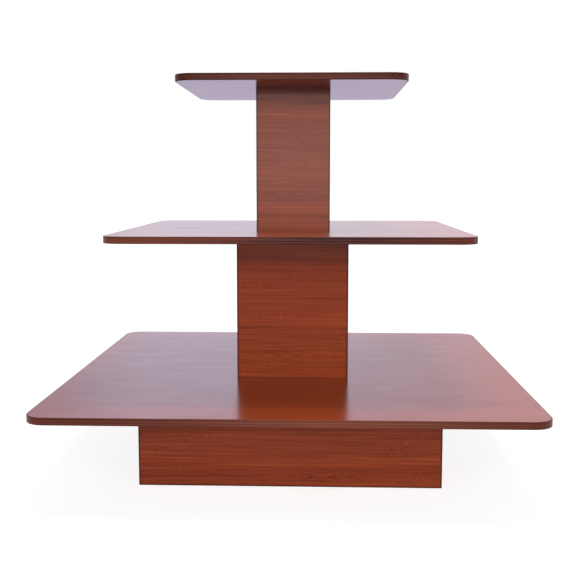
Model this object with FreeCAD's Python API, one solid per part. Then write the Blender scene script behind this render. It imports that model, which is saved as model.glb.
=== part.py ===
"""Tiered display table: three square tiers on two hollow columns and a hollow plinth.

Every piece is laminate-faced board, softwood or hardware, and is its own solid. The table is screwed
together from the top downwards while it lies upside down, so every screw is driven upwards and hidden:
each column is closed by the tier that it stands on, and the plinth is open underneath. Four levelling
feet are screwed into blocks in the plinth's corners.

Units are millimetres. The origin is on the floor under the middle of the table, +Z is up, -Y is the front.
"""

import FreeCAD, Part
import math
import os

os.makedirs("parts", exist_ok=True)

# Tiers: square boards with rounded corners and a band wrapped round their edges
bottom_tier_width = 1219.0
middle_tier_width = 912.0
top_tier_width = 597.0
tier_thickness = 18.0
tier_corner_radius = 50.0
edge_band_thickness = 3.0
edge_band_bevel = 1.5

# Plinth: the square box that the bottom tier overhangs
plinth_width = 768.0
plinth_height = 214.0
plinth_panel = 18.0
floor_gap = 3.0

# Columns: the square boxes between the tiers
lower_column_width = 304.0
lower_column_height = 388.0
upper_column_width = 202.0
upper_column_height = 384.0
column_panel = 18.0

# Corners of all three boxes: the side panels sit in rabbets in the front and back panels
rabbet_lip = 6.0
panel_arris = 1.0

# Wood inside the boxes
cleat_width = 30.0
cleat_height = 25.0
glue_block_leg = 20.0
glue_block_end_gap = 15.0
stretcher_thickness = 18.0
stretcher_height = 110.0
corner_block_width = 80.0
corner_block_height = 60.0
corner_block_bevel = 30.0

# Countersunk wood screws, driven upwards. They and their holes have flat sides, because there are many
screw_radius = 2.1
screw_sides = 8
screw_head_radius = 4.1
screw_head_depth = 2.4
screw_tip_length = 4.0
screw_tip_radius = 0.5
screw_tip_cover = 5.0
screw_clearance = 0.1
pilot_overrun = 1.0
screws_per_cleat = 2

# Levelling feet: a glide, a threaded stem with a hex collar, and the tee nut that holds the stem
glide_radius = 15.0
glide_height = 6.0
spigot_radius = 3.0
spigot_length = 4.0
spigot_clearance = 0.05
spigot_end_gap = 0.3
collar_across_flats = 14.0
collar_sides = 6
collar_height = 3.0
stem_radius = 4.7
stem_hole_overrun = 3.0
thread_clearance = 0.06
tee_nut_flange_radius = 11.0
tee_nut_flange_thickness = 1.6
tee_nut_barrel_radius = 5.8
tee_nut_barrel_length = 11.1
tee_nut_barrel_clearance = 0.05
leveller_travel = 12.7

# Levels above the floor, from the bottom upwards
bottom_tier_level = floor_gap + plinth_height
lower_column_level = bottom_tier_level + tier_thickness
middle_tier_level = lower_column_level + lower_column_height
upper_column_level = middle_tier_level + tier_thickness
top_tier_level = upper_column_level + upper_column_height
tee_nut_level = glide_height + collar_height
corner_block_level = tee_nut_level + tee_nut_flange_thickness

# Half widths inside the boxes
plinth_inside = plinth_width / 2 - plinth_panel
lower_column_inside = lower_column_width / 2 - column_panel
upper_column_inside = upper_column_width / 2 - column_panel


def box(low, high):
    """A box between its lowest and highest corners."""
    size = [b - a for a, b in zip(low, high)]
    return Part.makeBox(*size, FreeCAD.Vector(*low))


def prism(outline, bottom, height):
    """An outline of (x, y) points, extruded upwards from a level."""
    points = [FreeCAD.Vector(x, y, bottom) for x, y in outline]
    wire = Part.makePolygon(points + points[:1])
    return Part.Face(wire).extrude(FreeCAD.Vector(0, 0, height))


def turning(section, x, y):
    """A closed section of (radius, z) points turned about an upright axis at (x, y)."""
    points = [FreeCAD.Vector(x + radius, y, z) for radius, z in section]
    wire = Part.makePolygon(points + points[:1])
    return Part.Face(wire).revolve(FreeCAD.Vector(x, y, 0), FreeCAD.Vector(0, 0, 1), 360)


def cylinder(x, y, radius, bottom, top):
    """An upright cylinder between two levels."""
    return Part.makeCylinder(radius, top - bottom, FreeCAD.Vector(x, y, bottom))


def flat_sided(section, x, y, sides):
    """A section of (radius, z) points as an upright solid with flat sides instead of a round one."""
    rings = []
    for radius, z in section:
        angles = [2 * math.pi * index / sides for index in range(sides)]
        rings.append([FreeCAD.Vector(x + radius * math.cos(a), y + radius * math.sin(a), z) for a in angles])
    outlines = [rings[0], rings[-1]]
    for lower, upper in zip(rings, rings[1:]):
        for here in range(sides):
            beside = (here + 1) % sides
            outlines.append([lower[here], lower[beside], upper[beside], upper[here]])
    faces = [Part.Face(Part.makePolygon(outline + outline[:1])) for outline in outlines]
    return Part.makeSolid(Part.makeShell(faces))


def turned(shape, quarter_turns):
    """A copy turned about the table's own axis."""
    copy = shape.copy()
    copy.rotate(FreeCAD.Vector(0, 0, 0), FreeCAD.Vector(0, 0, 1), 90 * quarter_turns)
    return copy


def drilled(shape, cutters):
    """A piece with its holes cut."""
    return shape.cut(Part.makeCompound(cutters))


def write(name, shape):
    """One STEP file per piece. A group of like pieces goes in as a compound of separate solids."""
    shape.exportStep(f"parts/{name}.step")


# --- Screws and their holes -------------------------------------------------------------------------

def screw(x, y, head_level, tip_level):
    """A countersunk screw, head down, with a pointed tip."""
    section = [
        (screw_head_radius, head_level),
        (screw_radius, head_level + screw_head_depth),
        (screw_radius, tip_level - screw_tip_length),
        (screw_tip_radius, tip_level),
    ]
    return flat_sided(section, x, y, screw_sides)


def countersunk_hole(x, y, bottom, top):
    """The hole in the piece that takes the head, clear of the screw all round."""
    section = [
        (screw_head_radius + screw_clearance, bottom),
        (screw_radius + screw_clearance, bottom + screw_head_depth),
        (screw_radius + screw_clearance, top),
    ]
    return flat_sided(section, x, y, screw_sides)


def pilot_hole(x, y, bottom, tip_level):
    """The blind hole in the piece that takes the tip."""
    radius = screw_radius + screw_clearance
    return flat_sided([(radius, bottom), (radius, tip_level + pilot_overrun)], x, y, screw_sides)


def screw_group(places, head_level, tip_level):
    return Part.makeCompound([screw(x, y, head_level, tip_level) for x, y in places])


def along_cleat(half_length):
    """Places along a cleat, an equal step apart and half a step from each end."""
    step = 2 * half_length / screws_per_cleat
    return [(index + 0.5) * step - half_length for index in range(screws_per_cleat)]


def column_screw_places(inside):
    """Along the two side cleats of a column."""
    from_middle = inside - cleat_width / 2
    return [(side * from_middle, y) for side in (-1, 1) for y in along_cleat(inside)]


def plinth_screw_places():
    """Along the front and back cleats of the plinth, then along its side cleats."""
    from_middle = plinth_inside - cleat_width / 2
    along = along_cleat(plinth_inside - cleat_width)
    front_and_back = [(x, side * from_middle) for side in (-1, 1) for x in along]
    sides = [(side * from_middle, y) for side in (-1, 1) for y in along]
    return front_and_back + sides


lower_column_screws = column_screw_places(lower_column_inside)
upper_column_screws = column_screw_places(upper_column_inside)
deck_screws = plinth_screw_places()


# --- Tiers --------------------------------------------------------------------------------------------

def rounded_slab(width, radius, level):
    """A square slab of a tier's thickness with rounded corners."""
    half = width / 2
    slab = box((-half, -half, level), (half, half, level + tier_thickness))
    upright = [edge for edge in slab.Edges if abs(edge.tangentAt(edge.FirstParameter).z) > 0.5]
    return slab.makeFillet(radius, upright)


def tier(name, width, level, cutters):
    """The board with its screw holes, and the band round it with both edges bevelled."""
    core = rounded_slab(
        width - 2 * edge_band_thickness, tier_corner_radius - edge_band_thickness, level
    )
    write(f"{name}_board", drilled(core, cutters))
    outer = rounded_slab(width, tier_corner_radius, level)
    rims = [edge for edge in outer.Edges if abs(edge.tangentAt(edge.FirstParameter).z) < 0.5]
    write(f"{name}_edge_band", outer.makeChamfer(edge_band_bevel, rims).cut(core))


def tips_in_tier(places, level):
    """Pilot holes for screws that end in a tier, short of its top face."""
    return [pilot_hole(x, y, level, tier_screw_tip(level)) for x, y in places]


def heads_under_tier(places, level):
    """Countersunk holes right through a tier for the column above it."""
    return [countersunk_hole(x, y, level, level + tier_thickness) for x, y in places]


def tier_screw_tip(level):
    return level + tier_thickness - screw_tip_cover


tier(
    "bottom_tier",
    bottom_tier_width,
    bottom_tier_level,
    tips_in_tier(deck_screws, bottom_tier_level) + heads_under_tier(lower_column_screws, bottom_tier_level),
)
tier(
    "middle_tier",
    middle_tier_width,
    middle_tier_level,
    tips_in_tier(lower_column_screws, middle_tier_level)
    + heads_under_tier(upper_column_screws, middle_tier_level),
)
tier("top_tier", top_tier_width, top_tier_level, tips_in_tier(upper_column_screws, top_tier_level))


# --- Boxes: the four panels of the plinth and of each column ------------------------------------------

def face_panel(width, height, panel, level):
    """The front panel: its long edges are rabbeted inside for the side panels and eased outside."""
    half = width / 2
    outline = [
        (-half + panel_arris, -half),
        (half - panel_arris, -half),
        (half, -half + panel_arris),
        (half, -half + rabbet_lip),
        (half - panel, -half + rabbet_lip),
        (half - panel, -half + panel),
        (-half + panel, -half + panel),
        (-half + panel, -half + rabbet_lip),
        (-half, -half + rabbet_lip),
        (-half, -half + panel_arris),
    ]
    return prism(outline, level, height)


def side_panel(width, height, panel, level):
    """The right panel, which runs from rabbet to rabbet."""
    half = width / 2
    reach = half - rabbet_lip
    return box((half - panel, -reach, level), (half, reach, level + height))


def box_panels(name, width, height, panel, level):
    front = face_panel(width, height, panel, level)
    right = side_panel(width, height, panel, level)
    write(f"{name}_front_panel", front)
    write(f"{name}_back_panel", turned(front, 2))
    write(f"{name}_right_panel", right)
    write(f"{name}_left_panel", turned(right, 2))


box_panels("plinth", plinth_width, plinth_height, plinth_panel, floor_gap)
box_panels("lower_column", lower_column_width, lower_column_height, column_panel, lower_column_level)
box_panels("upper_column", upper_column_width, upper_column_height, column_panel, upper_column_level)


# --- Inside each column: side cleats at both ends, and glue blocks between them -----------------------

def column_cleat(inside, level, cutters):
    """The right-hand cleat, which runs from the front panel to the back panel."""
    strip = box((inside - cleat_width, -inside, level), (inside, inside, level + cleat_height))
    return drilled(strip, cutters)


def glue_block(inside, bottom, top):
    """A three-cornered block in the back right corner."""
    corner = [(inside, inside), (inside - glue_block_leg, inside), (inside, inside - glue_block_leg)]
    return prism(corner, bottom, top - bottom)


def column_inside(name, inside, level, height, places):
    on_the_right = [place for place in places if place[0] > 0]
    top_cleat_level = level + height - cleat_height
    tip_level = level + cleat_height - screw_tip_cover

    bottom_cleat = column_cleat(
        inside, level, [pilot_hole(x, y, level, tip_level) for x, y in on_the_right]
    )
    top_cleat = column_cleat(
        inside,
        top_cleat_level,
        [countersunk_hole(x, y, top_cleat_level, level + height) for x, y in on_the_right],
    )
    for side, quarter_turns in (("right", 0), ("left", 2)):
        write(f"{name}_bottom_cleat_{side}", turned(bottom_cleat, quarter_turns))
        write(f"{name}_top_cleat_{side}", turned(top_cleat, quarter_turns))

    block = glue_block(
        inside, level + cleat_height + glue_block_end_gap, top_cleat_level - glue_block_end_gap
    )
    write(f"{name}_glue_blocks", Part.makeCompound([turned(block, turns) for turns in range(4)]))

    write(f"{name}_base_screws", screw_group(places, level - tier_thickness, tip_level))
    write(
        f"{name}_head_screws",
        screw_group(places, top_cleat_level, tier_screw_tip(level + height)),
    )


column_inside(
    "lower_column", lower_column_inside, lower_column_level, lower_column_height, lower_column_screws
)
column_inside(
    "upper_column", upper_column_inside, upper_column_level, upper_column_height, upper_column_screws
)


# --- Inside the plinth: four cleats under the bottom tier, and two stretchers -------------------------

plinth_cleat_level = bottom_tier_level - cleat_height
deck_holes = [countersunk_hole(x, y, plinth_cleat_level, bottom_tier_level) for x, y in deck_screws]

front_cleat = box(
    (-plinth_inside, -plinth_inside, plinth_cleat_level),
    (plinth_inside, -plinth_inside + cleat_width, bottom_tier_level),
)
right_cleat = box(
    (plinth_inside - cleat_width, -plinth_inside + cleat_width, plinth_cleat_level),
    (plinth_inside, plinth_inside - cleat_width, bottom_tier_level),
)
for side, strip, quarter_turns in (
    ("front", front_cleat, 0),
    ("back", front_cleat, 2),
    ("right", right_cleat, 0),
    ("left", right_cleat, 2),
):
    write(f"plinth_cleat_{side}", drilled(turned(strip, quarter_turns), deck_holes))
write("plinth_deck_screws", screw_group(deck_screws, plinth_cleat_level, tier_screw_tip(bottom_tier_level)))

# Each stretcher stands on edge right under a side panel of the lower column
stretcher_middle = lower_column_width / 2 - column_panel / 2
right_stretcher = box(
    (stretcher_middle - stretcher_thickness / 2, -plinth_inside, bottom_tier_level - stretcher_height),
    (stretcher_middle + stretcher_thickness / 2, plinth_inside, bottom_tier_level),
).cut(front_cleat.fuse(turned(front_cleat, 2)))
write("plinth_stretcher_right", right_stretcher)
write("plinth_stretcher_left", turned(right_stretcher, 2))


# --- Levelling feet: one in each corner of the plinth -------------------------------------------------

foot = plinth_inside - corner_block_width / 2
stem_length = tee_nut_flange_thickness + tee_nut_barrel_length + leveller_travel


def corner_block():
    """Glued into the corner, bevelled where it faces the middle, and bored for the tee nut and stem."""
    near = plinth_inside - corner_block_width
    outline = [
        (plinth_inside, plinth_inside),
        (near, plinth_inside),
        (near, near + corner_block_bevel),
        (near + corner_block_bevel, near),
        (plinth_inside, near),
    ]
    block = prism(outline, corner_block_level, corner_block_height)
    hole = cylinder(
        foot,
        foot,
        tee_nut_barrel_radius + tee_nut_barrel_clearance,
        corner_block_level,
        tee_nut_level + stem_length + stem_hole_overrun,
    )
    return block.cut(hole)


def tee_nut():
    """A flange against the block's underside and a threaded barrel driven up into it."""
    thread = stem_radius + thread_clearance
    barrel_top = corner_block_level + tee_nut_barrel_length
    section = [
        (thread, tee_nut_level),
        (tee_nut_flange_radius, tee_nut_level),
        (tee_nut_flange_radius, corner_block_level),
        (tee_nut_barrel_radius, corner_block_level),
        (tee_nut_barrel_radius, barrel_top),
        (thread, barrel_top),
    ]
    return turning(section, foot, foot)


def glide():
    """The disc that stands on the floor, with a socket in its top for the stem's spigot."""
    socket = spigot_radius + spigot_clearance
    socket_floor = glide_height - spigot_length - spigot_end_gap
    section = [
        (0, 0),
        (glide_radius, 0),
        (glide_radius, glide_height),
        (socket, glide_height),
        (socket, socket_floor),
        (0, socket_floor),
    ]
    return turning(section, foot, foot)


def stem():
    """A spigot, a hex collar for a spanner, and the threaded stud, all one piece."""
    collar_radius = collar_across_flats / 2 / math.cos(math.pi / collar_sides)
    collar = flat_sided(
        [(collar_radius, glide_height), (collar_radius, tee_nut_level)], foot, foot, collar_sides
    )
    spigot = cylinder(foot, foot, spigot_radius, glide_height - spigot_length, glide_height)
    stud = cylinder(foot, foot, stem_radius, tee_nut_level, tee_nut_level + stem_length)
    return collar.fuse([spigot, stud])


corner_names = ("back_right", "back_left", "front_left", "front_right")
for piece_name, piece in (
    ("corner_block", corner_block()),
    ("leveller_glide", glide()),
    ("leveller_stem", stem()),
):
    for quarter_turns, corner_name in enumerate(corner_names):
        write(f"{piece_name}_{corner_name}", turned(piece, quarter_turns))
write("leveller_tee_nuts", Part.makeCompound([turned(tee_nut(), turns) for turns in range(4)]))
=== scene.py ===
"""Tiered display table in cherry-print laminate, dressed for the studio.

The sections follow the table as it is put together: tiers, plinth, columns, wood inside, screws and
levelling feet, then the studio. Units are metres, with the floor at 0, +Z up and -Y the front.
"""

import math

import bmesh
import bpy
from mathutils import Matrix, Vector


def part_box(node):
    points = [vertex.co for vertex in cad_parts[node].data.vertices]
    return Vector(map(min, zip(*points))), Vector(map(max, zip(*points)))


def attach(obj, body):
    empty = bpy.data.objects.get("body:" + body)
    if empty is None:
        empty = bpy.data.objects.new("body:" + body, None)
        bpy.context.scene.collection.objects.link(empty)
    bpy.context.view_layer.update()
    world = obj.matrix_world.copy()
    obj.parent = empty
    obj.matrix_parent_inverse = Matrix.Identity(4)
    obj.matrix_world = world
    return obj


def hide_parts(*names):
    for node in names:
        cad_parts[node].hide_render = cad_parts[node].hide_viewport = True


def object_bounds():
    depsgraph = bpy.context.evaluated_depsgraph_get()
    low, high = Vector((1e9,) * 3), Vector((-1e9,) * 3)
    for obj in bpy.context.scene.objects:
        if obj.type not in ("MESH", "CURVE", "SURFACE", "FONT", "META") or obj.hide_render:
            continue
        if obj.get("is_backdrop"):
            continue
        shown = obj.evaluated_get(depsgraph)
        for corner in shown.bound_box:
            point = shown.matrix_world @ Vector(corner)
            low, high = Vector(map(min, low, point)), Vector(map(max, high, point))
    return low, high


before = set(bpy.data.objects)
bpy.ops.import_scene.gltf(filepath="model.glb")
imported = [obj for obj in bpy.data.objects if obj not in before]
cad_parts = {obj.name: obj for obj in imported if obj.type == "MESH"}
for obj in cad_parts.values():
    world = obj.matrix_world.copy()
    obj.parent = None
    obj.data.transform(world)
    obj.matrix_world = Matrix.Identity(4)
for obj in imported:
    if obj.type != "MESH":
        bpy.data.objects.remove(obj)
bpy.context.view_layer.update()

# --- Tier boards ----------------------------------------------------------------------------------------
# Each tier is a square chipboard with cherry-print laminate pressed on both faces. The print's grain runs
# from side to side, and the satin surface carries a fine embossed grain and the wipe marks of cleaning.


def node(tree, kind, inputs=None, **settings):
    """A shader node with its settings and inputs. An input is a value or another node's output."""
    made = tree.nodes.new(kind)
    for setting, value in settings.items():
        setattr(made, setting, value)
    for socket, value in (inputs or {}).items():
        if isinstance(value, bpy.types.NodeSocket):
            tree.links.new(value, made.inputs[socket])
        else:
            made.inputs[socket].default_value = value
    return made


def maths(tree, operation, *values):
    return node(tree, "ShaderNodeMath", dict(enumerate(values)), operation=operation).outputs[0]


def new_finish(name):
    """An empty finish: its node tree and its surface shader."""
    finish = bpy.data.materials.new(name)
    finish.use_nodes = True
    return finish, finish.node_tree, finish.node_tree.nodes["Principled BSDF"]


def split(tree, vector):
    return node(tree, "ShaderNodeSeparateXYZ", {"Vector": vector}).outputs


def joined(tree, x, y, z):
    return node(tree, "ShaderNodeCombineXYZ", {"X": x, "Y": y, "Z": z}).outputs[0]


def here(tree):
    """The place on the table, in metres."""
    return node(tree, "ShaderNodeTexCoord").outputs["Object"]


def streaks(tree, grain, length, width, detail=2.0, distortion=0.0):
    """Streaks of about that length and width, from 0 to 1."""
    stretched = node(tree, "ShaderNodeMapping", {"Vector": grain, "Scale": (1 / length, 1 / width, 1)})
    noise = {"Vector": stretched.outputs[0], "Scale": 1.0, "Detail": detail, "Distortion": distortion}
    return node(tree, "ShaderNodeTexNoise", noise).outputs["Fac"]


def between(tree, value, low, high):
    """How far value is from low to high, smoothly, from 0 to 1. A high below low turns it round."""
    span = {"Value": value, "From Min": low, "From Max": high}
    return node(tree, "ShaderNodeMapRange", span, interpolation_type="SMOOTHSTEP").outputs["Result"]


def weighted(tree, middle, *parts):
    """Adds noises to a middle value, each as (noise, weight), about the noise's own middle of a half."""
    total = middle - sum(weight for noise, weight in parts) / 2
    for noise, weight in parts:
        total = maths(tree, "MULTIPLY_ADD", noise, weight, total)
    return total


def shades(tree, tone, *stops):
    """A colour for each tone, from (tone, colour) stops."""
    ramp = node(tree, "ShaderNodeValToRGB", {"Fac": tone})
    while len(ramp.color_ramp.elements) < len(stops):
        ramp.color_ramp.elements.new(0.5)
    for element, (position, colour) in zip(ramp.color_ramp.elements, stops):
        element.position = position
        element.color = (*colour, 1)
    return ramp.outputs["Color"]


flame_length = 0.060
flame_width = 0.012
flame_curve = 1.4
flame_reach = 2.6
flame_core = 0.8
ring_spacing = 0.0095
ring_sharpness = 4.0


def rings(tree, level):
    """Thin dark growth rings, one to each whole step of level."""
    wave = maths(tree, "SINE", maths(tree, "MULTIPLY", level, 2 * math.pi))
    return maths(tree, "POWER", maths(tree, "MULTIPLY_ADD", wave, 0.5, 0.5), ring_sharpness)


def flame(tree, grain, middle):
    """Rings that part in a long flame, where the saw runs level with a bend in the tree."""
    axes = split(tree, grain)
    wander = maths(tree, "MULTIPLY_ADD", streaks(tree, grain, 0.05, 0.015), 0.008, -0.004 - middle[1])
    from_middle = maths(tree, "ABSOLUTE", maths(tree, "SUBTRACT", axes["X"], middle[0]))
    along = maths(tree, "POWER", maths(tree, "DIVIDE", from_middle, flame_length), flame_curve)
    from_axis = maths(tree, "ABSOLUTE", maths(tree, "ADD", axes["Y"], wander))
    across = maths(tree, "POWER", maths(tree, "DIVIDE", from_axis, flame_width), flame_curve)
    nearby = between(tree, maths(tree, "ADD", along, across), flame_reach, flame_core)
    parted = rings(tree, maths(tree, "SUBTRACT", along, across))
    return maths(tree, "MULTIPLY", parted, nearby)


def long_rings(tree, grain):
    """Rings that run on from end to end of the board and sway a little."""
    sway = maths(tree, "MULTIPLY", streaks(tree, grain, 0.40, 0.040, detail=1.0), 3.0)
    across = maths(tree, "DIVIDE", split(tree, grain)["Y"], ring_spacing)
    return rings(tree, maths(tree, "ADD", across, sway))


def cherry_print(tree, grain, flame_middle, contrast, middle_tone=0.5):
    """The printed cherry: its colour, and the relief of its embossed grain."""
    broad = streaks(tree, grain, 1.2, 0.055, detail=1.5)
    bands = streaks(tree, grain, 0.36, 0.0105, detail=1.5, distortion=0.15)
    lines = streaks(tree, grain, 0.11, 0.0023, detail=2.0)
    pores = streaks(tree, grain, 0.012, 0.0008, detail=2.0)
    ray_marks = streaks(tree, grain, 0.0045, 0.016, detail=1.0)
    where_rays_show = between(tree, streaks(tree, grain, 0.20, 0.030, detail=1.0), 0.52, 0.64)
    rays = maths(tree, "MULTIPLY", maths(tree, "SUBTRACT", ray_marks, 0.5), where_rays_show)
    tone = weighted(
        tree,
        0,
        (broad, 0.52 * contrast),
        (bands, 0.42 * contrast),
        (lines, 0.30 * contrast),
        (pores, 0.20 * contrast),
    )
    tone = maths(tree, "ADD", tone, middle_tone)
    tone = maths(tree, "MULTIPLY_ADD", rays, 0.38 * contrast, tone)
    tone = maths(tree, "MULTIPLY_ADD", long_rings(tree, grain), -0.09 * contrast, tone)
    tone = maths(tree, "MULTIPLY_ADD", flame(tree, grain, flame_middle), -0.14 * contrast, tone)
    colour = shades(
        tree,
        tone,
        (0.10, (0.135, 0.0175, 0.0040)),
        (0.40, (0.240, 0.0385, 0.0090)),
        (0.60, (0.305, 0.0535, 0.0125)),
        (0.92, (0.420, 0.0920, 0.0255)),
    )
    return colour, lines


def emboss(tree, shader, relief, depth):
    bump = node(tree, "ShaderNodeBump", {"Height": relief, "Strength": 0.35, "Distance": depth})
    tree.links.new(bump.outputs[0], shader.inputs["Normal"])


laminate_ior = 1.45
laminate_gloss_at_right_angles = 0.42
tier_contrast = 0.9
tier_roughness = 0.215
tier_lacquer = 0.70
print_relief = 0.00001


def gloss(shader):
    """The clear overlay: faint when looked at squarely, strong at a low angle."""
    shader.inputs["IOR"].default_value = laminate_ior
    shader.inputs["Specular Tint"].default_value = (*(laminate_gloss_at_right_angles,) * 3, 1)


def tier_laminate(name, start, flame_middle):
    finish, tree, shader = new_finish(name)
    axes = split(tree, here(tree))
    grain = joined(tree, axes["X"], axes["Y"], start)
    colour, relief = cherry_print(tree, grain, flame_middle, tier_contrast)
    tree.links.new(colour, shader.inputs["Base Color"])
    wipes = streaks(tree, grain, 0.22, 0.10, detail=4.0)
    tree.links.new(weighted(tree, tier_roughness, (wipes, 0.05)), shader.inputs["Roughness"])
    gloss(shader)
    smears = streaks(tree, grain, 0.13, 0.050, detail=3.0)
    tree.links.new(weighted(tree, tier_lacquer, (smears, 0.36)), shader.inputs["Coat Weight"])
    shader.inputs["Coat Roughness"].default_value = tier_roughness
    emboss(tree, shader, relief, print_relief)
    return finish


def dress(name, finish):
    """Gives a CAD node its finish."""
    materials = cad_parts[name].data.materials
    materials.clear()
    materials.append(finish)


tier_names = ("bottom_tier", "middle_tier", "top_tier")
first_tier_print = 3.1
bottom_tier_flame = (0.28, -0.36)
flame_shift_up_a_tier = -0.2
for level, tier in enumerate(tier_names):
    flame_middle = (bottom_tier_flame[0] + flame_shift_up_a_tier * level, bottom_tier_flame[1])
    dress(f"{tier}_board", tier_laminate(f"{tier}_laminate", first_tier_print + level, flame_middle))

# --- Tier edge bands ------------------------------------------------------------------------------------
# One flexible wood-print plastic strip is glued round each board's edge. Its two edges are trimmed flush
# and rounded over, and its ends butt together at the middle of the back.

band_thickness = 0.003
band_corner = 0.050
band_round = 0.0014
pale_lines = (0.0104, 0.0046)
pale_line_half_width = 0.0015
pale_line_lift = 0.38
joint_half_width = 0.00025
# Painted light and shade on the strips: each strip's own tone is made darker on the higher tiers. A slow
# swing of tone runs along its length, and its phase sets where the front is lighter.
painted_light_repeat = 1.1
painted_light_swing = 0.17
band_roughness = 0.30
first_band_print = 8.0
band_painted_light = ((0.40, 1.03), (0.24, 1.68), (0.14, 1.28))


def band_finish(name, start, painted_light_tone, painted_light_phase):
    """The strip's print: long streaks and two paler lines all round, and the dark joint at the back. Its
    tone and the swing along its length are painted light and shade.
    """
    finish, tree, shader = new_finish(name)
    strip = node(tree, "ShaderNodeAttribute", attribute_name="strip").outputs["Vector"]
    run = split(tree, strip)
    grain = joined(tree, run["X"], run["Y"], start)
    bands = streaks(tree, grain, 0.5, 0.0040, detail=1.0)
    lines = streaks(tree, grain, 0.12, 0.0012, detail=1.0)
    tone = weighted(tree, painted_light_tone, (bands, 0.55), (lines, 0.45))
    # Painted light and shade: a slow swing of tone along the strip.
    painted_light_turn = maths(tree, "MULTIPLY_ADD", run["X"], 2 * math.pi / painted_light_repeat, painted_light_phase)
    tone = maths(tree, "MULTIPLY_ADD", maths(tree, "SINE", painted_light_turn), painted_light_swing, tone)
    wander = maths(tree, "MULTIPLY_ADD", streaks(tree, grain, 0.3, 0.5), 0.003, -0.0015)
    height = maths(tree, "ADD", run["Y"], wander)
    for middle in pale_lines:
        from_line = maths(tree, "ABSOLUTE", maths(tree, "SUBTRACT", height, middle))
        line = between(tree, from_line, pale_line_half_width, 0.0)
        tone = maths(tree, "MULTIPLY_ADD", line, pale_line_lift, tone)
    tone = maths(tree, "MULTIPLY", tone, between(tree, run["Z"], 0.0, joint_half_width))
    colour = shades(
        tree,
        tone,
        (0.00, (0.020, 0.0040, 0.0025)),
        (0.20, (0.093, 0.0205, 0.0115)),
        (0.50, (0.157, 0.0395, 0.0220)),
        (0.85, (0.240, 0.0725, 0.0450)),
    )
    tree.links.new(colour, shader.inputs["Base Color"])
    handling = streaks(tree, grain, 0.08, 0.02, detail=3.0)
    tree.links.new(weighted(tree, band_roughness, (handling, 0.14)), shader.inputs["Roughness"])
    gloss(shader)
    emboss(tree, shader, lines, print_relief)
    return finish


def fit(name, shape, finish, body, slot, *nodes):
    """Makes a finished bmesh a piece that rides on a body and stands for its CAD nodes."""
    bmesh.ops.recalc_face_normals(shape, faces=shape.faces)
    mesh = bpy.data.meshes.new(name)
    shape.to_mesh(mesh)
    shape.free()
    mesh.materials.append(finish)
    mesh.polygons.foreach_set("use_smooth", [True] * len(mesh.polygons))
    mesh.set_sharp_from_angle(angle=math.radians(35))
    piece = bpy.data.objects.new(name, mesh)
    bpy.context.scene.collection.objects.link(piece)
    flat_faces = piece.modifiers.new("flat_faces", "WEIGHTED_NORMAL")
    flat_faces.keep_sharp = True
    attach(piece, body)
    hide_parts(*nodes)
    return piece


def from_joint_to(place, half):
    """How far along the strip a place lies from the nearer end, which is at the middle of the back."""
    straight = half - band_corner
    x, y = abs(place.x), abs(place.y)
    round_corner = math.atan2(max(x - straight, 0), max(y - straight, 0))
    length = min(x, straight) + max(straight - y, 0) + band_corner * round_corner
    half_way_round = 4 * straight + math.pi * band_corner
    return length if place.y > 0 else half_way_round - length


def outside_by(place, half):
    """How far a place lies outside a rounded square of that half width, below zero when inside."""
    straight = half - band_corner
    x, y = abs(place.x), abs(place.y)
    if x > straight and y > straight:
        return math.hypot(x - straight, y - straight) - band_corner
    return max(x, y) - half


def is_outer_rim(edge, half):
    """Level edges on the outside, top and bottom."""
    ends = [vertex.co for vertex in edge.verts]
    level = abs(ends[0].z - ends[1].z) < 1e-6
    return level and all(outside_by(end, half) > -band_thickness / 2 for end in ends)


def bevelled(shape, edges, offset, segments):
    bmesh.ops.bevel(
        shape,
        geom=edges,
        offset=offset,
        offset_type="OFFSET",
        affect="EDGES",
        segments=segments,
        profile=0.5,
        material=-1,
        clamp_overlap=True,
    )


def raised(shape, height):
    """Draws the faces up to that height, as a closed solid."""
    drawn = bmesh.ops.extrude_face_region(shape, geom=shape.faces[:], use_keep_orig=True)
    upper = [item for item in drawn["geom"] if isinstance(item, bmesh.types.BMVert)]
    bmesh.ops.translate(shape, verts=upper, vec=(0, 0, height))
    shape.normal_update()


def band_shape(low, high):
    """A ring as high as the board, with rounded corners and its outer edges rounded over."""
    half = high.x
    ring = bmesh.new()
    bmesh.ops.create_grid(ring, x_segments=1, y_segments=1, size=half)
    bmesh.ops.translate(ring, verts=ring.verts, vec=(0, 0, low.z))
    bmesh.ops.bevel(
        ring,
        geom=ring.verts[:],
        offset=band_corner,
        offset_type="OFFSET",
        affect="VERTICES",
        segments=16,
        profile=0.5,
        material=-1,
    )
    outline = ring.faces[:]
    bmesh.ops.inset_region(
        ring, faces=outline, thickness=band_thickness, use_even_offset=True, use_boundary=True
    )
    bmesh.ops.delete(ring, geom=outline, context="FACES")
    raised(ring, high.z - low.z)
    bevelled(ring, [edge for edge in ring.edges if is_outer_rim(edge, half)], band_round, 4)
    whole = ring.verts[:] + ring.edges[:] + ring.faces[:]
    bmesh.ops.bisect_plane(ring, geom=whole, plane_co=(0, 0, 0), plane_no=(1, 0, 0))
    once_round = 2 * from_joint_to(Vector((0, -half, 0)), half)
    strip = ring.loops.layers.float_vector.new("strip")
    for face in ring.faces:
        on_the_left = face.calc_center_median().x < 0
        for corner in face.loops:
            from_joint = from_joint_to(corner.vert.co, half)
            around = once_round - from_joint if on_the_left else from_joint
            corner[strip] = Vector((around, corner.vert.co.z - low.z, from_joint))
    return ring


for level, (tier, tier_painted_light) in enumerate(zip(tier_names, band_painted_light)):
    band = f"{tier}_edge_band"
    banding = band_finish(f"{band}_print", first_band_print + level, *tier_painted_light)
    fit(f"{tier}_wrapped_band", band_shape(*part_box(band)), banding, "carcase", "edge_band", band)

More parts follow.
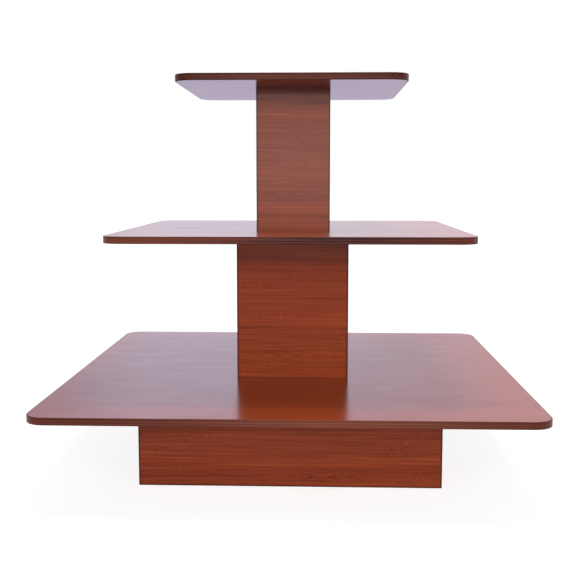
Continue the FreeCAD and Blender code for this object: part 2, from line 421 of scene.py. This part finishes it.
# --- Plinth and column panels ---------------------------------------------------------------------------
# Chipboard with the same laminate outside and a plain backing sheet inside. The laminate's edges show as
# fine dark lines down the eased corners, and the board's core shows along the plinth's bottom edge. The
# faces are also darker beside the upright corners and along the plinth's bottom, and near the top of each
# box the print carries painted light and shade.

panel_contrast = 1.4
panel_roughness = 0.14
backing_extra_roughness = 0.5
laminate_thickness = 0.0008
dark_edge = (0.024, 0.0070, 0.0040)
scuff_colour = (0.42, 0.22, 0.15)
# The faces are darker within about 6 mm of each upright corner and along their bottom 7.5 mm.
dark_corner_width = 0.0062
corner_and_floor_darkness = 0.75
floor_darkening_top = 0.0075
floor_darkening_full = 0.0045
# Painted light and shade: near the top of each panel the print is made lighter or darker, fading in between
# these depths below the top.
top_painted_light_starts = 0.075
top_painted_light_full = 0.015
scuffed_height = 0.045


def chipboard_colour(tree, place):
    """Small pressed chips in several tans."""
    chips = node(tree, "ShaderNodeTexVoronoi", {"Vector": place, "Scale": 420.0}).outputs["Color"]
    tone = node(tree, "ShaderNodeSeparateColor", {"Color": chips}).outputs["Red"]
    return shades(
        tree, tone, (0.0, (0.20, 0.12, 0.060)), (0.5, (0.42, 0.29, 0.160)), (1.0, (0.60, 0.45, 0.280))
    )


def mixed(tree, amount, first, second):
    mix = node(tree, "ShaderNodeMix", {0: amount}, data_type="RGBA")
    for socket, colour in ((mix.inputs[6], first), (mix.inputs[7], second)):
        if isinstance(colour, bpy.types.NodeSocket):
            tree.links.new(colour, socket)
        else:
            socket.default_value = (*colour, 1)
    return mix.outputs[2]


def shoe_scuffs(tree, place, along):
    """Short thin rubs low down on the plinth, where shoes and trolleys touch it."""
    axes = split(tree, place)
    slanted = maths(tree, "MULTIPLY_ADD", axes[along], 0.12, axes["Z"])
    rubs = between(tree, streaks(tree, joined(tree, axes[along], slanted, 5.0), 0.03, 0.0011), 0.66, 0.74)
    low_down = between(tree, axes["Z"], scuffed_height, 0.010)
    return maths(tree, "MULTIPLY", rubs, maths(tree, "MULTIPLY", low_down, 0.35))


def panel_finish(name, along, start, flame_middle, high, thickness, painted_light_and_shade_at_top):
    """Laminate outside, dark at the eased corners and along the bottom, with painted light and shade near
    the top, and a backing sheet on the inner face.
    """
    finish, tree, shader = new_finish(name)
    half = high.x
    place = here(tree)
    axes = split(tree, place)
    grain = joined(tree, axes[along], axes["Z"], start)
    # Painted light and shade: the print's tone is lifted or lowered near the top of the box.
    near_top_painted_light = between(tree, axes["Z"], high.z - top_painted_light_starts, high.z - top_painted_light_full)
    middle_tone = maths(tree, "MULTIPLY_ADD", near_top_painted_light, painted_light_and_shade_at_top, 0.5)
    colour, relief = cherry_print(tree, grain, flame_middle, panel_contrast, middle_tone)
    colour = mixed(tree, shoe_scuffs(tree, place, along), colour, scuff_colour)

    normal = split(tree, node(tree, "ShaderNodeNewGeometry").outputs["True Normal"])
    slant = maths(tree, "ABSOLUTE", maths(tree, "MULTIPLY", normal["X"], normal["Y"]))
    out_x = maths(tree, "ABSOLUTE", axes["X"])
    out_y = maths(tree, "ABSOLUTE", axes["Y"])
    furthest_out = maths(tree, "MAXIMUM", out_x, out_y)
    from_corner = maths(tree, "SUBTRACT", half, maths(tree, "MINIMUM", out_x, out_y))
    # Darker towards each upright corner and towards the floor.
    darker_beside_corner = between(tree, from_corner, dark_corner_width, 0.35 * dark_corner_width)
    darker_at_floor = between(tree, axes["Z"], floor_darkening_top, floor_darkening_full)
    corner_and_floor_darkening = maths(tree, "MAXIMUM", darker_beside_corner, darker_at_floor)
    corner_and_floor_darkening = maths(tree, "MULTIPLY", corner_and_floor_darkening, corner_and_floor_darkness)
    edge_line_and_darkening = maths(tree, "MAXIMUM", maths(tree, "GREATER_THAN", slant, 0.3), corner_and_floor_darkening)
    colour = mixed(tree, edge_line_and_darkening, colour, dark_edge)

    inner_face = maths(tree, "LESS_THAN", furthest_out, half - thickness + 0.0002)
    fibres = streaks(tree, place, 0.02, 0.02, detail=5.0)
    backing = shades(tree, fibres, (0.3, (0.135, 0.075, 0.045)), (0.7, (0.190, 0.115, 0.070)))
    colour = mixed(tree, inner_face, colour, backing)

    level = maths(tree, "GREATER_THAN", maths(tree, "ABSOLUTE", normal["Z"]), 0.5)
    in_core = maths(tree, "LESS_THAN", furthest_out, half - laminate_thickness)
    core = maths(tree, "MULTIPLY", level, in_core)
    colour = mixed(tree, core, colour, chipboard_colour(tree, place))
    tree.links.new(colour, shader.inputs["Base Color"])

    bare = maths(tree, "MAXIMUM", inner_face, core)
    wiped = weighted(tree, panel_roughness, (streaks(tree, grain, 0.15, 0.08, detail=4.0), 0.08))
    rougher = maths(tree, "MULTIPLY_ADD", bare, backing_extra_roughness, wiped)
    tree.links.new(rougher, shader.inputs["Roughness"])
    gloss(shader)
    emboss(tree, shader, relief, print_relief)
    return finish


# The third column is painted light and shade near each box's top: lighter on the plinth and lower column,
# darker on the upper column.
boxes = (
    ("plinth", (0.082, 0.030), 0.06),
    ("lower_column", (-0.015, 0.296), 0.13),
    ("upper_column", (-0.035, 0.738), -0.16),
)
first_box_print = 10.0
flame_shift_a_side = (-0.05, 0.03)
for number, (box_name, front_flame, painted_light_and_shade_at_top) in enumerate(boxes):
    panel_low, panel_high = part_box(f"{box_name}_right_panel")
    panel_thickness = panel_high.x - panel_low.x
    for turn, (side, along) in enumerate((("front", "X"), ("right", "Y"), ("back", "X"), ("left", "Y"))):
        flame_middle = [start + turn * shift for start, shift in zip(front_flame, flame_shift_a_side)]
        finish = panel_finish(
            f"{box_name}_{side}_laminate",
            along,
            first_box_print + 4 * number + turn,
            flame_middle,
            panel_high,
            panel_thickness,
            painted_light_and_shade_at_top,
        )
        dress(f"{box_name}_{side}_panel", finish)

# --- Wood inside ----------------------------------------------------------------------------------------
# Planed softwood strips and blocks, glued and screwed inside the boxes. Their sharp edges are eased with
# a stroke of glass-paper.

strip_ease = 0.0008
shortest_eased_edge = 0.012
wood_roughness = 0.62
ring_steps = 44.0
first_wood_print = 30.0


def softwood(name, along, across, start):
    finish, tree, shader = new_finish(name)
    axes = split(tree, here(tree))
    grain = joined(tree, axes[along], axes[across], start)
    hill = streaks(tree, grain, 0.45, 0.030, detail=0.6)
    wave = maths(tree, "SINE", maths(tree, "MULTIPLY", hill, ring_steps))
    years = maths(tree, "MULTIPLY_ADD", wave, 0.5, 0.5)
    fibres = streaks(tree, grain, 0.05, 0.0007, detail=2.0)
    tone = weighted(tree, 0.5, (years, 0.45), (fibres, 0.6))
    colour = shades(
        tree,
        tone,
        (0.15, (0.400, 0.215, 0.095)),
        (0.50, (0.610, 0.400, 0.210)),
        (0.85, (0.730, 0.540, 0.330)),
    )
    tree.links.new(colour, shader.inputs["Base Color"])
    tree.links.new(weighted(tree, wood_roughness, (fibres, 0.2)), shader.inputs["Roughness"])
    emboss(tree, shader, fibres, 0.00008)
    return finish


def eased_copy(name):
    """The CAD shape with its long edges slightly rounded."""
    shape = bmesh.new()
    shape.from_mesh(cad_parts[name].data)
    bmesh.ops.remove_doubles(shape, verts=shape.verts, dist=0.00001)
    bmesh.ops.dissolve_limit(
        shape,
        angle_limit=math.radians(2),
        verts=shape.verts,
        edges=shape.edges,
        use_dissolve_boundaries=False,
    )
    long_edges = [
        edge
        for edge in shape.edges
        if edge.calc_length() > shortest_eased_edge and edge.calc_face_angle(0) > math.radians(30)
    ]
    bevelled(shape, long_edges, strip_ease, 2)
    return shape


wood_parts = [(f"plinth_cleat_{side}", "X", "Y") for side in ("front", "back")]
for side in ("left", "right"):
    wood_parts.append((f"plinth_cleat_{side}", "Y", "X"))
    wood_parts.append((f"plinth_stretcher_{side}", "Y", "Z"))
    for column in ("lower_column", "upper_column"):
        wood_parts.append((f"{column}_bottom_cleat_{side}", "Y", "X"))
        wood_parts.append((f"{column}_top_cleat_{side}", "Y", "X"))
for column in ("lower_column", "upper_column"):
    wood_parts.append((f"{column}_glue_blocks", "Z", "X"))
foot_corners = ("front_left", "front_right", "back_left", "back_right")
for corner in foot_corners:
    wood_parts.append((f"corner_block_{corner}", "X", "Y"))

for start, (name, along, across) in enumerate(wood_parts):
    finish = softwood(f"{name}_pine", along, across, first_wood_print + start)
    fit(f"{name}_eased", eased_copy(name), finish, "carcase", "softwood", name)

# --- Screws ---------------------------------------------------------------------------------------------
# Zinc-plated countersunk wood screws with a cross recess. They are driven upwards, through the cleats or
# through the board under a column, until their heads sit flush.

screw_head_radius = 0.0038
screw_head_depth = 0.0022
screw_rim = 0.0002
screw_core_radius = 0.0014
screw_thread_radius = 0.0020
screw_pitch = 0.0022
screw_plain_share = 0.35
screw_point = 0.004
recess_reach = 0.0021
recess_width = 0.0011
recess_depth = 0.0013
recess_taper = 0.55
round_sides = 24


def zinc(name):
    """Bright zinc plate, a little cloudy."""
    finish, tree, shader = new_finish(name)
    mottle = node(tree, "ShaderNodeTexNoise", {"Vector": here(tree), "Scale": 180.0, "Detail": 4.0})
    cloud = mottle.outputs["Fac"]
    colour = shades(tree, cloud, (0.3, (0.52, 0.50, 0.44)), (0.7, (0.70, 0.71, 0.72)))
    tree.links.new(colour, shader.inputs["Base Color"])
    tree.links.new(weighted(tree, 0.32, (cloud, 0.25)), shader.inputs["Roughness"])
    shader.inputs["Metallic"].default_value = 1.0
    emboss(tree, shader, cloud, 0.00005)
    return finish


def solids(name):
    """The box of each separate solid in a CAD node, as its lowest and highest corners."""
    shape = bmesh.new()
    shape.from_mesh(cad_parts[name].data)
    bmesh.ops.remove_doubles(shape, verts=shape.verts, dist=0.00001)
    unseen = set(shape.verts)
    found = []
    while unseen:
        reached = [unseen.pop()]
        for vertex in reached:
            beside = [edge.other_vert(vertex) for edge in vertex.link_edges]
            new = [other for other in beside if other in unseen]
            unseen.difference_update(new)
            reached.extend(new)
        corners = [
            Vector(pick(vertex.co[axis] for vertex in reached) for axis in range(3)) for pick in (min, max)
        ]
        found.append(corners)
    shape.free()
    return sorted(found, key=lambda box: tuple(box[0]))


def add(shape, part, place=(0, 0, 0)):
    """Adds a part's geometry to a shape, moved to its place."""
    mesh = bpy.data.meshes.new("part")
    part.to_mesh(mesh)
    part.free()
    before = len(shape.verts)
    shape.from_mesh(mesh)
    shape.verts.ensure_lookup_table()
    bmesh.ops.translate(shape, verts=shape.verts[before:], vec=place)
    bpy.data.meshes.remove(mesh)


def turned(outline):
    """An outline of (radius, height) points turned about the upright axis."""
    shape = bmesh.new()
    points = [shape.verts.new((radius, 0, height)) for radius, height in outline]
    edges = [shape.edges.new(ends) for ends in zip(points, points[1:])]
    bmesh.ops.spin(
        shape,
        geom=points + edges,
        cent=(0, 0, 0),
        axis=(0, 0, 1),
        dvec=(0, 0, 0),
        angle=2 * math.pi,
        steps=round_sides,
        use_merge=True,
        use_duplicate=False,
    )
    bmesh.ops.remove_doubles(shape, verts=shape.verts, dist=0.000001)
    return shape


def threaded(root, crest, pitch, low, high):
    """A screw thread: one turn's outline wound upwards, then both ends cut off square and closed."""
    shape = bmesh.new()
    outline = ((root, 0.0), (root, 0.14), (crest, 0.44), (crest, 0.56), (root, 0.86), (root, 1.0))
    points = [shape.verts.new((radius, 0, low + (share - 1) * pitch)) for radius, share in outline]
    edges = [shape.edges.new(ends) for ends in zip(points, points[1:])]
    turns = math.ceil((high - low) / pitch) + 1
    bmesh.ops.spin(
        shape,
        geom=points + edges,
        cent=(0, 0, 0),
        axis=(0, 0, 1),
        dvec=(0, 0, pitch / round_sides),
        angle=2 * math.pi * turns,
        steps=round_sides * turns,
        use_merge=False,
        use_duplicate=False,
    )
    bmesh.ops.remove_doubles(shape, verts=shape.verts, dist=0.000002)
    for level, cut in ((low, {"clear_inner": True}), (high, {"clear_outer": True})):
        whole = shape.verts[:] + shape.edges[:] + shape.faces[:]
        bmesh.ops.bisect_plane(shape, geom=whole, plane_co=(0, 0, level), plane_no=(0, 0, 1), **cut)
    open_edges = [edge for edge in shape.edges if edge.is_boundary]
    bmesh.ops.holes_fill(shape, edges=open_edges, sides=0)
    return shape


def cross_recess_head():
    """The screw's flat face with a cross pressed into it."""
    face = bmesh.new()
    bmesh.ops.create_grid(face, x_segments=3, y_segments=3, size=recess_reach)
    for vertex in face.verts:
        for axis in range(2):
            if abs(vertex.co[axis]) < 0.9 * recess_reach:
                vertex.co[axis] = math.copysign(recess_width / 2, vertex.co[axis])
    square = [edge for edge in face.edges if edge.is_boundary]
    middles = {cell: cell.calc_center_median() for cell in face.faces}
    arms = [cell for cell, middle in middles.items() if min(abs(middle.x), abs(middle.y)) < 1e-5]
    pressed = bmesh.ops.extrude_face_region(face, geom=arms)
    bmesh.ops.delete(face, geom=arms, context="FACES")
    floor_of_recess = [item for item in pressed["geom"] if isinstance(item, bmesh.types.BMVert)]
    bmesh.ops.scale(face, vec=(recess_taper, recess_taper, 1), verts=floor_of_recess)
    bmesh.ops.translate(face, vec=(0, 0, recess_depth), verts=floor_of_recess)
    rim = bmesh.ops.create_circle(face, segments=round_sides, radius=screw_head_radius - screw_rim)["verts"]
    rim_edges = list({edge for vertex in rim for edge in vertex.link_edges})
    bmesh.ops.bridge_loops(face, edges=square + rim_edges)
    return face


def screw(length):
    """A countersunk screw, head down at height zero."""
    shape = cross_recess_head()
    neck = length * screw_plain_share
    shaft = screw_core_radius - 0.0001
    skin = (
        (screw_head_radius - screw_rim, 0),
        (screw_head_radius, screw_rim),
        (screw_core_radius, screw_head_depth),
        (screw_core_radius, neck),
        (shaft, neck + 0.0003),
        (shaft, length - screw_point),
        (0, length),
    )
    add(shape, turned(skin))
    bmesh.ops.remove_doubles(shape, verts=shape.verts, dist=0.00001)
    thread = threaded(screw_core_radius, screw_thread_radius, screw_pitch, neck, length - screw_point)
    add(shape, thread)
    return shape


zinc_plate = zinc("zinc_plate")
for screw_group in (
    "plinth_deck_screws",
    "lower_column_base_screws",
    "lower_column_head_screws",
    "upper_column_base_screws",
    "upper_column_head_screws",
):
    group = bmesh.new()
    for low, high in solids(screw_group):
        middle = (low + high) / 2
        add(group, screw(high.z - low.z), (middle.x, middle.y, low.z))
    fit(f"{screw_group}_threaded", group, zinc_plate, "carcase", "zinc_steel", screw_group)

# --- Levelling feet -------------------------------------------------------------------------------------
# In each corner of the plinth a tee nut is pressed up into the block. A zinc-plated stud screws into it,
# with a hex collar for a spanner and a spigot that snaps into a black nylon glide.

stud_crest = 0.0047
stud_root = 0.0040
stud_pitch = 0.0015875
stud_end = 0.0012
spigot_radius = 0.003
spigot_length = 0.004
glide_edge = 0.0018
glide_groove = 0.0006
tee_nut_flange_round = 0.0004


def nylon(name):
    """Moulded black nylon, rubbed dull and scratched by the floor."""
    finish, tree, shader = new_finish(name)
    place = here(tree)
    grit = node(tree, "ShaderNodeTexNoise", {"Vector": place, "Scale": 900.0, "Detail": 3.0}).outputs["Fac"]
    rubbed = between(tree, split(tree, place)["Z"], 0.0012, 0.0002)
    scratches = between(tree, streaks(tree, place, 0.012, 0.0004), 0.60, 0.70)
    pale = maths(tree, "MULTIPLY", rubbed, maths(tree, "MULTIPLY_ADD", scratches, 0.6, 0.25))
    moulded = shades(tree, grit, (0.3, (0.012, 0.012, 0.012)), (0.7, (0.020, 0.020, 0.020)))
    tree.links.new(mixed(tree, pale, moulded, (0.085, 0.085, 0.082)), shader.inputs["Base Color"])
    tree.links.new(weighted(tree, 0.5, (grit, 0.3)), shader.inputs["Roughness"])
    emboss(tree, shader, grit, 0.00004)
    return finish


def glide(low, high):
    """A disc with a rounded foot, a groove round its wall and a collar round the spigot's socket."""
    radius = (high.x - low.x) / 2
    height = high.z - low.z
    outline = [(0, 0), (radius - 2 * glide_edge, 0)]
    for step in range(1, 6):
        angle = math.radians(18 * step)
        across = radius - 2 * glide_edge + 2 * glide_edge * math.sin(angle)
        outline.append((across, glide_edge * (1 - math.cos(angle))))
    outline += [
        (radius, height * 0.45),
        (radius - glide_groove, height * 0.50),
        (radius - glide_groove, height * 0.58),
        (radius, height * 0.63),
        (radius, height * 0.80),
        (radius - 0.0008, height * 0.93),
        (radius - 0.0022, height * 0.97),
        (spigot_radius + 0.0030, height * 0.97),
        (spigot_radius + 0.0024, height),
        (spigot_radius + 0.0001, height),
        (spigot_radius + 0.0001, height - spigot_length - 0.0003),
        (0, height - spigot_length - 0.0003),
    ]
    return turned(outline)


def stud(low, high, collar_low, collar_high):
    """Spigot, hex collar and thread, all one forging."""
    shape = bmesh.new()
    across_flats = min(high.x - low.x, high.y - low.y)
    bmesh.ops.create_circle(shape, cap_ends=True, segments=6, radius=across_flats / math.sqrt(3))
    if high.x - low.x > high.y - low.y:
        half_a_side = Matrix.Rotation(math.pi / 6, 3, "Z")
        bmesh.ops.rotate(shape, verts=shape.verts, cent=(0, 0, 0), matrix=half_a_side)
    bmesh.ops.translate(shape, verts=shape.verts, vec=(0, 0, collar_low))
    raised(shape, collar_high - collar_low)
    bevelled(shape, shape.edges[:], 0.0004, 2)
    top = high.z
    core = (
        (0, low.z),
        (spigot_radius - 0.0005, low.z),
        (spigot_radius, low.z + 0.0005),
        (spigot_radius, collar_low + 0.0005),
        (stud_root - 0.0001, collar_high - 0.0005),
        (stud_root - 0.0001, top - stud_end / 2),
        (stud_root - 0.0007, top),
        (0, top),
    )
    add(shape, turned(core))
    add(shape, threaded(stud_root, stud_crest, stud_pitch, collar_high, top - stud_end))
    return shape


def tee_nuts(name):
    """A flange with a rounded rim, and the barrel that is pressed up into the block."""
    shape = bmesh.new()
    flange_thickness = 0.0016
    barrel_radius = 0.0058
    bore = 0.00476
    for low, high in solids(name):
        middle = (low + high) / 2
        radius = (high.x - low.x) / 2
        height = high.z - low.z
        outline = (
            (bore, 0.0004),
            (bore + 0.0004, 0),
            (radius - tee_nut_flange_round, 0),
            (radius, tee_nut_flange_round),
            (radius, flange_thickness - tee_nut_flange_round),
            (radius - tee_nut_flange_round, flange_thickness),
            (barrel_radius + 0.0003, flange_thickness),
            (barrel_radius, flange_thickness + 0.0003),
            (barrel_radius, height - 0.0003),
            (barrel_radius - 0.0003, height),
            (bore, height),
            (bore, 0.0004),
        )
        add(shape, turned(outline), (middle.x, middle.y, low.z))
    return shape


nuts = "leveller_tee_nuts"
nut_bottom = min(box[0].z for box in solids(nuts))
fit(f"{nuts}_pressed", tee_nuts(nuts), zinc_plate, "carcase", "zinc_steel", nuts)
glide_nylon = nylon("glide_nylon")
for corner in foot_corners:
    glide_name = f"leveller_glide_{corner}"
    low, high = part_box(glide_name)
    middle = (low + high) / 2
    disc = bmesh.new()
    add(disc, glide(low, high), (middle.x, middle.y, low.z))
    fit(f"{glide_name}_moulded", disc, glide_nylon, f"glide_{corner}", "glide_plastic", glide_name)

    stem_name = f"leveller_stem_{corner}"
    stem = bmesh.new()
    add(stem, stud(*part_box(stem_name), high.z, nut_bottom), (middle.x, middle.y, 0))
    fit(f"{stem_name}_threaded", stem, zinc_plate, f"stem_{corner}", "zinc_steel", stem_name)

# --- Studio ---------------------------------------------------------------------------------------------
# A pale floor in a white surround, with a large soft lamp far in front at the height of the upper tiers,
# one above, and a smaller one low down at each side that gloss doesn't show. Gloss shows a sky of its own.

white = (1.0, 1.0, 1.0, 1)
front_surround_light = 0.30
back_surround_light = 0.60
floor_paint_shade = 0.35
floor_glow_seen = 0.84
far_glow_seen = 1.00
floor_glow_in_gloss = 0.665
floor_in_gloss = (0.78, 0.69, 0.98, 1)
low_sky = (1.11, 1.08, 1.17)
high_sky = (0.82, 0.74, 0.93)
side_sky = (0.82, 0.60, 0.68)
front_sky_in_gloss = 0.10
left_sky_in_gloss = 0.60
low_right_sky_in_gloss = 0.89
low_sky_in_gloss = 0.86
floor_half_width = 60


def seen_from(tree):
    """1 where the camera looks straight at it, and 1 where a gloss or glass shows it."""
    path = node(tree, "ShaderNodeLightPath").outputs
    return path["Is Camera Ray"], maths(tree, "MAXIMUM", path["Is Glossy Ray"], path["Is Transmission Ray"])


world = bpy.data.worlds.new("studio")
bpy.context.scene.world = world
world.use_nodes = True
world.cycles.sampling_method = "NONE"
sky = world.node_tree
sky.nodes.clear()
direction = split(sky, node(sky, "ShaderNodeTexCoord").outputs["Generated"])
sideways = maths(sky, "ABSOLUTE", maths(sky, "ADD", direction["X"], 0.15))
higher = mixed(sky, between(sky, sideways, 0.06, 0.36), high_sky, side_sky)
sky_in_gloss = mixed(sky, between(sky, direction["Z"], 0.05, 0.18), low_sky, higher)
by_camera, by_gloss = seen_from(sky)
plain_sky = node(sky, "ShaderNodeBackground", {"Color": white, "Strength": 1.0}).outputs[0]
to_the_back = between(sky, direction["Y"], -0.2, 0.2)
back_to_front = maths(sky, "MULTIPLY_ADD", to_the_back, 1 - front_sky_in_gloss, front_sky_in_gloss)
to_the_left = between(sky, direction["X"], -0.17, -0.33)
left_to_right = maths(sky, "MULTIPLY_ADD", to_the_left, left_sky_in_gloss - 1, 1)
low_on_the_right = maths(
    sky, "MULTIPLY", between(sky, direction["X"], -0.02, 0.08), between(sky, direction["Z"], 0.235, 0.19)
)
to_the_right = maths(sky, "MULTIPLY", low_on_the_right, between(sky, direction["Z"], 0.10, 0.16))
left_to_right = maths(sky, "MULTIPLY_ADD", to_the_right, low_right_sky_in_gloss - 1, left_to_right)
upwards = between(sky, direction["Z"], 0.17, 0.27)
low_to_high = maths(sky, "MULTIPLY_ADD", upwards, 0.27, low_sky_in_gloss)
sky_strength = maths(sky, "MULTIPLY", maths(sky, "MULTIPLY", back_to_front, left_to_right), low_to_high)
glossy_sky = node(sky, "ShaderNodeBackground", {"Color": sky_in_gloss, "Strength": sky_strength}).outputs[0]
fill = back_surround_light - front_surround_light
surround = maths(sky, "MULTIPLY_ADD", to_the_back, fill, front_surround_light)
soft_light = node(sky, "ShaderNodeBackground", {"Color": white, "Strength": surround}).outputs[0]
lit_sky = node(sky, "ShaderNodeMixShader", {0: by_gloss, 1: soft_light, 2: glossy_sky}).outputs[0]
whole_sky = node(sky, "ShaderNodeMixShader", {0: by_camera, 1: lit_sky, 2: plain_sky}).outputs[0]
node(sky, "ShaderNodeOutputWorld", {"Surface": whole_sky})

floor_shape = bmesh.new()
bmesh.ops.create_grid(floor_shape, x_segments=1, y_segments=1, size=floor_half_width)
floor_mesh = bpy.data.meshes.new("floor")
floor_shape.to_mesh(floor_mesh)
floor_shape.free()
floor = bpy.data.objects.new("floor", floor_mesh)
bpy.context.scene.collection.objects.link(floor)
floor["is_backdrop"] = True

floor_finish = bpy.data.materials.new("floor_white")
floor_finish.use_nodes = True
floor_finish.cycles.emission_sampling = "NONE"
floor_tree = floor_finish.node_tree
floor_tree.nodes.clear()
paint = node(floor_tree, "ShaderNodeBsdfDiffuse", {"Color": (*(floor_paint_shade,) * 3, 1)}).outputs[0]
by_camera, by_gloss = seen_from(floor_tree)
away = node(floor_tree, "ShaderNodeVectorMath", {0: here(floor_tree)}, operation="LENGTH").outputs["Value"]
far_away = between(floor_tree, away, 1.5, 6.0)
glow_here = maths(floor_tree, "MULTIPLY_ADD", far_away, far_glow_seen - floor_glow_seen, floor_glow_seen)
seen_strength = maths(floor_tree, "MULTIPLY", by_camera, glow_here)
seen_glow = {"Color": white, "Strength": seen_strength}
near_enough = between(floor_tree, split(floor_tree, here(floor_tree))["Y"], -11.0, -9.0)
in_gloss = maths(floor_tree, "MULTIPLY", near_enough, floor_glow_in_gloss)
gloss_strength = maths(floor_tree, "MULTIPLY", by_gloss, in_gloss)
gloss_glow = {"Color": floor_in_gloss, "Strength": gloss_strength}
for glow in (seen_glow, gloss_glow):
    light = node(floor_tree, "ShaderNodeEmission", glow).outputs[0]
    paint = node(floor_tree, "ShaderNodeAddShader", {0: paint, 1: light}).outputs[0]
from_below = node(floor_tree, "ShaderNodeNewGeometry").outputs["Backfacing"]
clear = node(floor_tree, "ShaderNodeBsdfTransparent").outputs[0]
one_sided = node(floor_tree, "ShaderNodeMixShader", {0: from_below, 1: paint, 2: clear}).outputs[0]
node(floor_tree, "ShaderNodeOutputMaterial", {"Surface": one_sided})
floor_mesh.materials.append(floor_finish)


def softbox(name, place, aim, size, power, colour, spread, in_gloss=True):
    data = bpy.data.lights.new(name, "AREA")
    data.shape = "RECTANGLE"
    data.size, data.size_y = size
    data.energy = power
    data.color = colour
    data.spread = math.radians(spread)
    lamp = bpy.data.objects.new(name, data)
    lamp.visible_glossy = in_gloss
    lamp.location = place
    lamp.rotation_euler = (Vector(aim) - Vector(place)).to_track_quat("-Z", "Y").to_euler()
    bpy.context.scene.collection.objects.link(lamp)


softbox("front", (-0.4, -14.0, 1.22), (0.0, 0, 0.9), (4.2, 2.56), 6.3, (1.0, 0.98, 1.0), 36)
softbox("above", (0.35, -0.15, 3.2), (0.35, -0.15, 0), (0.9, 0.9), 50, (1.0, 0.99, 0.98), 180)
side_lamps = (
    ("right", 2.5, 0.1, 4.6, (1.0, 0.97, 0.93)),
    ("left", -2.5, 0.0, 3.9, (1.0, 0.96, 0.96)),
)
for lamp_name, out, aim, power, colour in side_lamps:
    place = (out, -3.2, 1.15)
    softbox(lamp_name, place, (aim, -0.3, 0.35), (1.6, 1.6), power, colour, 36, in_gloss=False)


focal_length = 57.84
sensor_width = 36
looks_down = math.radians(6.646)
turned_left = math.radians(2.028)
camera_data = bpy.data.cameras.new("camera")
camera_data.lens = focal_length
camera_data.sensor_width = sensor_width
camera = bpy.data.objects.new("camera", camera_data)
camera.location = (0.0764, -2.6567, 0.7753)
camera.rotation_euler = (math.pi / 2 - looks_down, 0, turned_left)
bpy.context.scene.collection.objects.link(camera)
bpy.context.scene.camera = camera

bpy.context.scene.view_settings.view_transform = "Standard"

low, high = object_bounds()
